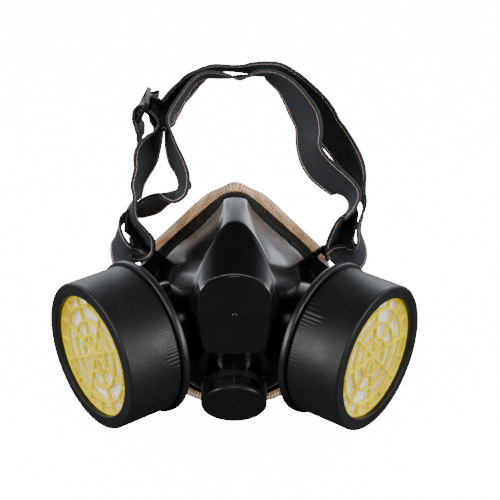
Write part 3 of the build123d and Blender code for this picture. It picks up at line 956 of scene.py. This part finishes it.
def make_felt(side_name):
    """Felt disc with a soft, slightly uneven face."""
    port = port_matrix(side_name)
    radius = CUP_R - 1.6
    rows, segments = 44, 120
    verts = [Vector((0, 0, FELT_CROWN))]
    for row in range(1, rows + 1):
        for step in range(segments):
            reach = radius * row / rows
            place = spun(reach, tau * step / segments, 0)
            swell = noise.noise(place * 0.12) * 0.2 + noise.noise(place * 0.6) * 0.12
            inside = min(1.0, max(0.0, (GRILLE_RIM_R - 0.4 - reach) / 1.6)) ** 0.5
            height = FELT_EDGE + (FELT_CROWN - FELT_EDGE + swell) * inside
            verts.append(Vector((place.x, place.y, height)))
    faces = [(0, 1 + step, 1 + (step + 1) % segments) for step in range(segments)]
    for row in range(rows - 1):
        for step in range(segments):
            near, far = 1 + row * segments, 1 + (row + 1) * segments
            after = (step + 1) % segments
            faces.append((near + step, far + step, far + after, near + after))
    rim = 1 + (rows - 1) * segments
    base = len(verts)
    for step in range(segments):
        verts.append(spun(radius, tau * step / segments, FELT_BACK))
    for step in range(segments):
        after = (step + 1) % segments
        faces.append((rim + step, base + step, base + after, rim + after))
    faces.append(tuple(reversed(range(base, base + segments))))
    verts, faces = moved(port, (verts, faces))
    felt = make_piece(f"felt_disc_{side_name}", verts, faces, FELT, f"canister_{side_name}",
                      [f"felt_pad_{side_name}"], 60)


# ---------------------------------------------------------------- exhalation cover
def make_cover():
    """Cap with arched windows in its side wall, ribs between them and a low crowned face."""
    valve = valve_matrix()
    windows = ((62, 26), (118, 26), (242, 26), (298, 26))
    window_low, window_high = -8.4, -2.9
    wall_in = BOSS_R + 0.12
    profile = [(0.05, -1.6), (wall_in, -1.6)]
    wall_rows = (-2.9, -8.4, -COVER_DEPTH + 0.3)
    profile += [(wall_in, row) for row in wall_rows]
    profile += [(wall_in + 0.3, -COVER_DEPTH), (COVER_R - 0.3, -COVER_DEPTH)]
    profile += [(COVER_R, row) for row in reversed(wall_rows)]
    profile += arc((COVER_R - 1.4, -1.4), 1.4, 0, 90, 5)
    profile += [(14.5, 0.0), (13.8, -0.25), (8.0, 0.05), (0.05, 0.2)]
    part = lathe(profile, 180)
    cover = raw_object("exhale_valve_cap", moved(valve, part))
    for middle, half_span in windows:
        section = []
        steps = 12
        for radius in (wall_in - 2, COVER_R + 2):
            for height in (window_low, window_high):
                for step in range(steps + 1):
                    angle = radians(middle - half_span + 2 * half_span * step / steps)
                    section.append(spun(radius, angle, height))
        row = steps + 1
        faces = []
        for near, far in ((0, 1), (1, 3), (3, 2), (2, 0)):
            for step in range(steps):
                first, second = near * row + step, far * row + step
                faces.append((first, first + 1, second + 1, second))
        faces.append((0, row, 3 * row, 2 * row))
        faces.append((steps, row + steps, 3 * row + steps, 2 * row + steps))
        cut(cover, raw_object("window", moved(valve, (section, faces))), "DIFFERENCE")
    soften = cover.modifiers.new("soften", "BEVEL")
    soften.width = 0.3 * MM
    soften.segments = 2
    soften.limit_method = "ANGLE"
    soften.angle_limit = radians(50)
    apply_modifiers(cover)
    finish_piece(cover, COVER_PLASTIC, "facepiece", ["exhale_cover"], 35)


# ---------------------------------------------------------------- head strap
STRAP_WIDTH = 24.0
STRAP_THICKNESS = 1.3
# Each row is a point on the webbing's middle and then the direction across it.
# From the buckle over the top to the right ear.
OVER_THE_TOP = [
    (-54, 47, 164.5, .15, .98, -.15), (-51, 47, 164.5, .10, .99, -.05), (-48.5, 48, 162.5, -.05, .90, .40),
    (-46.5, 49, 161.5, -.14, .60, .79), (-43.5, 49.5, 161, -.20, .15, .97),
    (-40.5, 49, 162.5, -.16, -.30, .94), (-37, 49, 165, -.14, -.63, .76), (-33, 49, 170, -.15, -.69, .71),
    (-28.5, 49, 175, -.14, -.71, .69), (-24.5, 49, 179.5, -.12, -.75, .65), (-20, 49, 183, -.09, -.82, .57),
    (-16, 49, 185.5, -.03, -.86, .51), (-11.5, 49, 187, 0, -.89, .45), (-6.5, 49, 187, 0, -.90, .43),
    (-.5, 49, 186.7, 0, -.90, .43), (4.5, 49, 186.6, 0, -.88, .47), (9, 49, 186.8, 0, -.84, .54),
    (16, 49, 187, .05, -.82, .58), (23, 49, 185.5, .14, -.76, .63), (29.5, 49, 181, .20, -.71, .68),
    (36.5, 49, 175, .26, -.69, .68), (43.5, 49, 167.5, .33, -.65, .68), (48, 49, 161, .40, -.61, .69),
    (51.5, 49, 153.5, .48, -.58, .66), (56, 49, 146.5, .56, -.56, .61), (62, 48, 138, .56, -.62, .55),
    (66.5, 47, 130.5, .48, -.70, .52), (69, 46, 124.5, .36, -.77, .52), (70.5, 45, 119, .22, -.82, .52),
    (72, 44, 114, .11, -.86, .49), (73.7, 43, 109.3, .03, -.89, .46), (74.3, 42, 105, -.05, -.90, .44),
    (73.3, 41, 99.8, -.11, -.89, .44), (72.3, 40, 95, -.14, -.88, .45), (72.2, 39, 90.3, -.15, -.88, .45),
    (72.6, 38, 85.7, -.20, -.86, .46), (72.2, 37, 80.8, -.36, -.74, .56), (70, 36, 77, -.58, -.50, .63),
    (66.6, 35.4, 75, -.68, -.25, .69)]
# From the right ear back over the top, down on the left and round outside to the left ear.
BACK_OVER = [
    (62.3, 41.2, 76.8, -.69, -.40, .60), (61.2, 41, 80.5, -.69, -.60, .40),
    (61.5, 41, 84.5, -.67, -.66, .34), (62.3, 40.5, 89, -.63, -.70, .33), (63.5, 40, 94, -.59, -.73, .35),
    (64.6, 40, 98.3, -.52, -.75, .39), (65.3, 40, 101.7, -.43, -.79, .44), (65.8, 40, 105, -.28, -.81, .51),
    (65.7, 39.3, 107.8, -.10, -.81, .58), (65.5, 39, 110, .10, -.78, .62), (65, 39, 112.7, .28, -.73, .62),
    (63.8, 39, 116, .46, -.65, .60), (60.5, 39, 119.6, .62, -.58, .53), (55.7, 39, 123.7, .73, -.52, .44),
    (50.5, 39, 128.3, .78, -.52, .35), (45.8, 39, 134.4, .72, -.62, .31), (42.7, 39, 141, .60, -.74, .31),
    (41.2, 39, 147.7, .52, -.79, .33), (40.7, 39, 155.5, .60, -.74, .30), (38.3, 39, 163.7, .69, -.66, .28),
    (34.5, 39, 171, .64, -.70, .30), (30, 39, 177.5, .54, -.76, .36), (25, 40, 182, .43, -.80, .43),
    (20, 40.5, 185, .31, -.83, .48), (15, 41, 186, .18, -.87, .46), (11, 42, 185.3, .07, -.92, .39),
    (8, 42.5, 184.5, 0, -.95, .31), (5, 43, 183.7, 0, -.97, .25), (.8, 43, 183.4, 0, -.97, .23),
    (-3.7, 43, 183.8, -.02, -.93, .37), (-8.5, 43, 184.6, 0, -.90, .44), (-14.5, 43, 185, 0, -.89, .45),
    (-18.3, 42.5, 184.6, -.05, -.90, .43), (-21.5, 42, 183, -.11, -.91, .40),
    (-24.7, 41.5, 180.2, -.14, -.93, .34), (-27.8, 41, 176.2, -.14, -.93, .34),
    (-31, 40, 171.5, -.14, -.92, .37), (-33.8, 39, 166.8, -.15, -.90, .41),
    (-35.7, 38.3, 163, -.12, -.90, .42), (-36.7, 38, 159.5, -.04, -.91, .41),
    (-37.3, 37.5, 156.5, .08, -.92, .38), (-37.2, 37, 152.5, .19, -.92, .35),
    (-36.2, 37, 146.3, .29, -.90, .34), (-34.9, 37, 140.4, .38, -.86, .34),
    (-33.4, 37, 134.7, .42, -.84, .34), (-32.1, 37, 129.8, .42, -.84, .34),
    (-31.6, 37.2, 125.5, .39, -.85, .36), (-31.9, 38, 121.3, .34, -.86, .39),
    (-32.7, 39, 118.3, .24, -.87, .43), (-33.8, 40.3, 116.2, .10, -.88, .47),
    (-35.8, 42.5, 114, -.04, -.85, .52), (-40.4, 46, 110, -.14, -.79, .59),
    (-46.5, 50, 104.6, -.17, -.74, .65), (-51.8, 53, 99.2, -.13, -.69, .71),
    (-56.3, 54, 96.6, -.05, -.74, .67), (-60, 53.5, 96.1, .01, -.81, .58),
    (-63.2, 51.5, 95.3, .03, -.83, .56), (-66.1, 48.5, 93.6, .03, -.84, .54),
    (-68, 45.5, 91.6, .06, -.85, .53), (-68.7, 42.5, 89.3, .16, -.82, .54),
    (-68.6, 40, 86.2, .30, -.76, .58), (-67.6, 38, 82, .45, -.68, .58), (-65.8, 36.5, 78, .57, -.55, .60)]
# From the left ear up to the buckle.
UP_TO_BUCKLE = [
    (-60, 41.2, 77, .70, -.38, .60), (-56.5, 40.5, 81.7, .70, -.57, .43), (-55.6, 38, 89.5, .62, -.70, .34),
    (-56.8, 35, 97.5, .41, -.82, .38), (-57.8, 33.5, 104, .21, -.90, .39),
    (-57.5, 33, 109.3, .05, -.92, .40), (-56.7, 34, 113.3, -.08, -.92, .39),
    (-56.6, 36, 116.8, -.19, -.90, .38), (-56, 38, 120.8, -.26, -.89, .37),
    (-54.3, 39.5, 125, -.33, -.87, .36), (-52.2, 40.5, 129.5, -.42, -.84, .34),
    (-51, 41, 133.6, -.50, -.81, .32), (-50.6, 41, 137.5, -.55, -.77, .31),
    (-50, 41, 141.3, -.51, -.78, .37), (-48.3, 41, 145.8, -.38, -.81, .44),
    (-46.2, 41, 150, -.21, -.86, .46), (-44.3, 41, 153.7, -.06, -.90, .43),
    (-43.8, 41.5, 157, .03, -.94, .34), (-45.2, 42.5, 160.3, .05, -.97, .22),
    (-48.2, 45, 162.6, .02, -.99, .14), (-52, 47, 163.3, -.10, -.99, .09), (-55, 47, 162, -.10, -.99, .12)]
TAIL = [
    (-50.5, 47, 168.2, -.10, -.99, .09), (-53.5, 47, 167, -.10, -.99, .12),
    (-56.2, 46.5, 163.5, -.06, -.96, .28), (-56.8, 46, 159, -.09, -.94, .32),
    (-55.6, 46, 154.2, -.15, -.93, .34), (-54.5, 46, 150.6, -.16, -.93, .34),
    (-54.2, 46, 146.8, -.07, -.93, .36), (-54.6, 46, 143.7, .02, -.93, .37)]


def ear_turn(side):
    """Stations round the ear's bar: down in front, through the slot and up behind."""
    ear = ear_matrix(side)
    gap = EAR_THICKNESS / 2 + 0.3 + STRAP_THICKNESS / 2
    heights = [(6.3, gap), (4.2, gap), (2.2, gap * 0.85), (1.25, 0), (2.2, -gap * 0.85), (4.2, -gap),
               (6.3, -gap)]
    across = Vector((side * EAR_SLOPE[0], EAR_SLOPE[1], EAR_SLOPE[2])) * -1
    return [(ear @ Vector((-side * 0.8, height, depth)), across) for height, depth in heights]


def stations(rows):
    return [(Vector(row[:3]), Vector(row[3:])) for row in rows]


def strap_stations():
    over = stations(OVER_THE_TOP) + ear_turn(SIDES["right"]) + stations(BACK_OVER)
    return over + ear_turn(SIDES["left"]) + stations(UP_TO_BUCKLE)


def ribbon_axes(middles, acrosses, index):
    """Directions across the webbing and out of its face, at one point of its line."""
    ahead = middles[min(index + 1, len(middles) - 1)]
    behind = middles[max(index - 1, 0)]
    tangent = (ahead - behind).normalized()
    across = acrosses[index]
    across = (across - tangent * across.dot(tangent)).normalized()
    return across, tangent.cross(across)


def ribbon(route, per_span=8):
    """Webbing along a route, a flat section with beaded edges, and the smooth line that it follows."""
    middles = catmull([point for point, _ in route], per_span)
    acrosses = catmull([across.normalized() for _, across in route], per_span)
    half = STRAP_WIDTH / 2
    top = STRAP_THICKNESS / 2
    section = [(-half, 0.0), (-half + 0.25, top * 1.05), (-half + 0.9, top * 1.15), (-half + 1.5, top * 0.8)]
    inner = [(-half + 2.6, top * 0.85), (-half * 0.45, top * 0.95), (0, top), (half * 0.45, top * 0.95),
             (half - 2.6, top * 0.85)]
    upper = section + inner + [(-x, y) for x, y in reversed(section)]
    lower = [(x, -y) for x, y in reversed(upper[1:-1])]
    outline = upper + lower
    verts, uvs = [], []
    length = 0.0
    previous_normal = None
    for index, point in enumerate(middles):
        if index:
            length += (point - middles[index - 1]).length
        across, normal = ribbon_axes(middles, acrosses, index)
        if previous_normal is not None and normal.dot(previous_normal) < 0:
            normal = -normal
        previous_normal = normal
        for x, y in outline:
            verts.append(point + across * x + normal * y)
            uvs.append((length, x + half))
    count = len(outline)
    faces = grid_faces(len(middles), count) + end_faces(len(middles), count)
    return verts, faces, uvs, length, middles, acrosses


def edge_threads(middles, acrosses):
    """Two tan threads let into each face of the webbing near its edges."""
    inset, depth = STRAP_WIDTH / 2 - 2.0, STRAP_THICKNESS * 0.42
    parts = []
    for side in (-1, 1):
        for face in (-1, 1):
            line = []
            for index, point in enumerate(middles):
                across, normal = ribbon_axes(middles, acrosses, index)
                line.append(point + across * (side * inset) + normal * (face * depth))
            parts.append(tube_along(line, 0.24))
    return join_parts(parts)


def make_strap():
    verts, faces, uvs, length, middles, acrosses = ribbon(strap_stations())
    strap = make_piece("strap_webbing", verts, faces, WEBBING, None,
                       ["head_strap", "strap_end_left", "strap_end_right"], 60, uvs)
    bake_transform(strap)
    verts, faces = edge_threads(middles, acrosses)
    threads = make_piece("strap_edge_threads", verts, faces, TAN_THREAD, None, smooth_angle=80)
    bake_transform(threads)
    verts, faces, uvs, tail_length, middles, acrosses = ribbon(stations(TAIL))
    piece = make_piece("strap_tail", verts, faces, WEBBING, "head_strap", (), 60, uvs)
    verts, faces = edge_threads(middles, acrosses)
    make_piece("tail_edge_threads", verts, faces, TAN_THREAD, "head_strap", smooth_angle=80)


def make_buckle():
    """Slide of two small frames side by side, which share the webbing between their bars."""
    low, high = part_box("strap_buckle")
    middle = (Vector(low) + Vector(high)) / 2 / MM
    along = Vector(joint("buckle_slide")["axis"])
    place = frame_matrix(middle, along, along.cross(Vector((0, 1, 0))))
    outer = rounded_outline(7.0, 31.0, 2.0)
    inner = rounded_outline(3.4, 25.0, 1.2)
    parts = []
    for offset in (-3.0, 3.0):
        shift = Vector((offset, 0, 0))
        parts.append(holed_plate([point + shift for point in outer], [point + shift for point in inner],
                                 2.6, 0.6))
    verts, faces = moved(place, join_parts(parts))
    make_piece("slide_buckle", verts, faces, BUCKLE_PLASTIC, "strap_buckle",
               ["strap_buckle"], 40)


# ---------------------------------------------------------------- floor, light and camera
LIGHT_TARGET = Vector((0, 0, 0.08))
PAPER_GLOW = 15.0
FLOOR_HALF = 6.0


def make_stage():
    """Pale paper sweep: a bright ground to look at that throws little back into the gloss."""
    mesh = bpy.data.meshes.new("floor")
    corners = [(x * FLOOR_HALF, y * FLOOR_HALF, 0) for x, y in ((-1, -1), (1, -1), (1, 1), (-1, 1))]
    mesh.from_pydata(corners, [], [(0, 1, 2, 3)])
    floor = bpy.data.objects.new("floor", mesh)
    bpy.context.collection.objects.link(floor)
    look = Look("pale_floor", (0.86, 0.86, 0.86), 0.75, specular=0.1)
    seen = look.seen()
    paper = look.plus(look.times(look.noise(3.0, 4.0), 0.03), 0.84)
    look.shade("Base Color", look.mix(look.times(seen, paper), (0.12, 0.12, 0.12), (1, 1, 1)))
    look.glow((1, 1, 1), look.times(seen, PAPER_GLOW))
    mesh.materials.append(look.material)


def add_light(name, location, size, power):
    """Square soft light aimed at the middle of the object."""
    data = bpy.data.lights.new(name, "AREA")
    data.shape = "SQUARE"
    data.size = size
    data.energy = power
    lamp = bpy.data.objects.new(name, data)
    lamp.location = location
    direction = LIGHT_TARGET - Vector(location)
    lamp.rotation_euler = direction.to_track_quat("-Z", "Y").to_euler()
    bpy.context.collection.objects.link(lamp)


def make_lighting():
    """White backdrop, bright behind the object and dark in front and overhead; soft lights on each side."""
    world = bpy.data.worlds.new("studio")
    bpy.context.scene.world = world
    nodes = Nodes(world)
    axes = nodes.axes("Generated")
    behind = nodes.span(axes["Y"], 0, 1, 0.05, 0.7)
    below_top = nodes.span(axes["Z"], 1, 0, 0.3, 0.82)
    strength = nodes.plus(nodes.times(nodes.times(behind, below_top), 3.2), 0.06)
    background = nodes.tree.nodes["Background"].inputs
    nodes.fill(background["Color"], (0.9, 0.94, 1.0))
    nodes.fill(background["Strength"], nodes.plus(strength, nodes.times(nodes.seen(), PAPER_GLOW)))
    for side_name, side in SIDES.items():
        add_light(f"{side_name}_softbox", (side * 1.25, -0.35, 0.55), 0.5, 9)
        add_light(f"{side_name}_grille_light", (side * 1.15, -0.8, 0.3), 0.4, 9)
    add_light("front_fill", (0, -1.0, 1.2), 0.35, 5)


def make_camera():
    """Long lens, 25 degrees down from straight in front."""
    elevation = radians(25)
    target = Vector((0, 0.033, 0.080))
    distance = 0.9
    data = bpy.data.cameras.new("camera")
    data.sensor_width = 36
    data.lens = 111.312
    data.shift_x = 0.030
    data.shift_y = 0.0052
    camera = bpy.data.objects.new("camera", data)
    direction = Vector((0, -cos(elevation), sin(elevation)))
    camera.location = target + direction * distance
    roll = Matrix.Rotation(radians(0.42), 4, "Z")
    camera.matrix_world = Matrix.Translation(camera.location) @ (
        direction.to_track_quat("Z", "Y").to_matrix().to_4x4() @ roll)
    bpy.context.collection.objects.link(camera)
    bpy.context.scene.camera = camera


def main():
    make_camera()
    make_stage()
    make_lighting()
    surface = make_facepiece()
    mould_mark()
    make_seal()
    make_binding(surface)
    for side_name in SIDES:
        make_base(side_name)
        make_sleeve(side_name)
        make_grille(side_name)
        make_felt(side_name)
        repaint(f"port_neck_{side_name}", INNER_PLASTIC)
        repaint(f"inhale_flap_{side_name}", SILICONE)
        repaint(f"port_gasket_{side_name}", GASKET)
        repaint(f"carbon_screen_{side_name}", SCREEN)
        repaint(f"carbon_bed_{side_name}", CARBON)
    repaint("exhale_seat", INNER_PLASTIC)
    repaint("exhale_flap", SILICONE)
    make_cover()
    make_strap()
    make_buckle()


main()
bpy.context.view_layer.update()
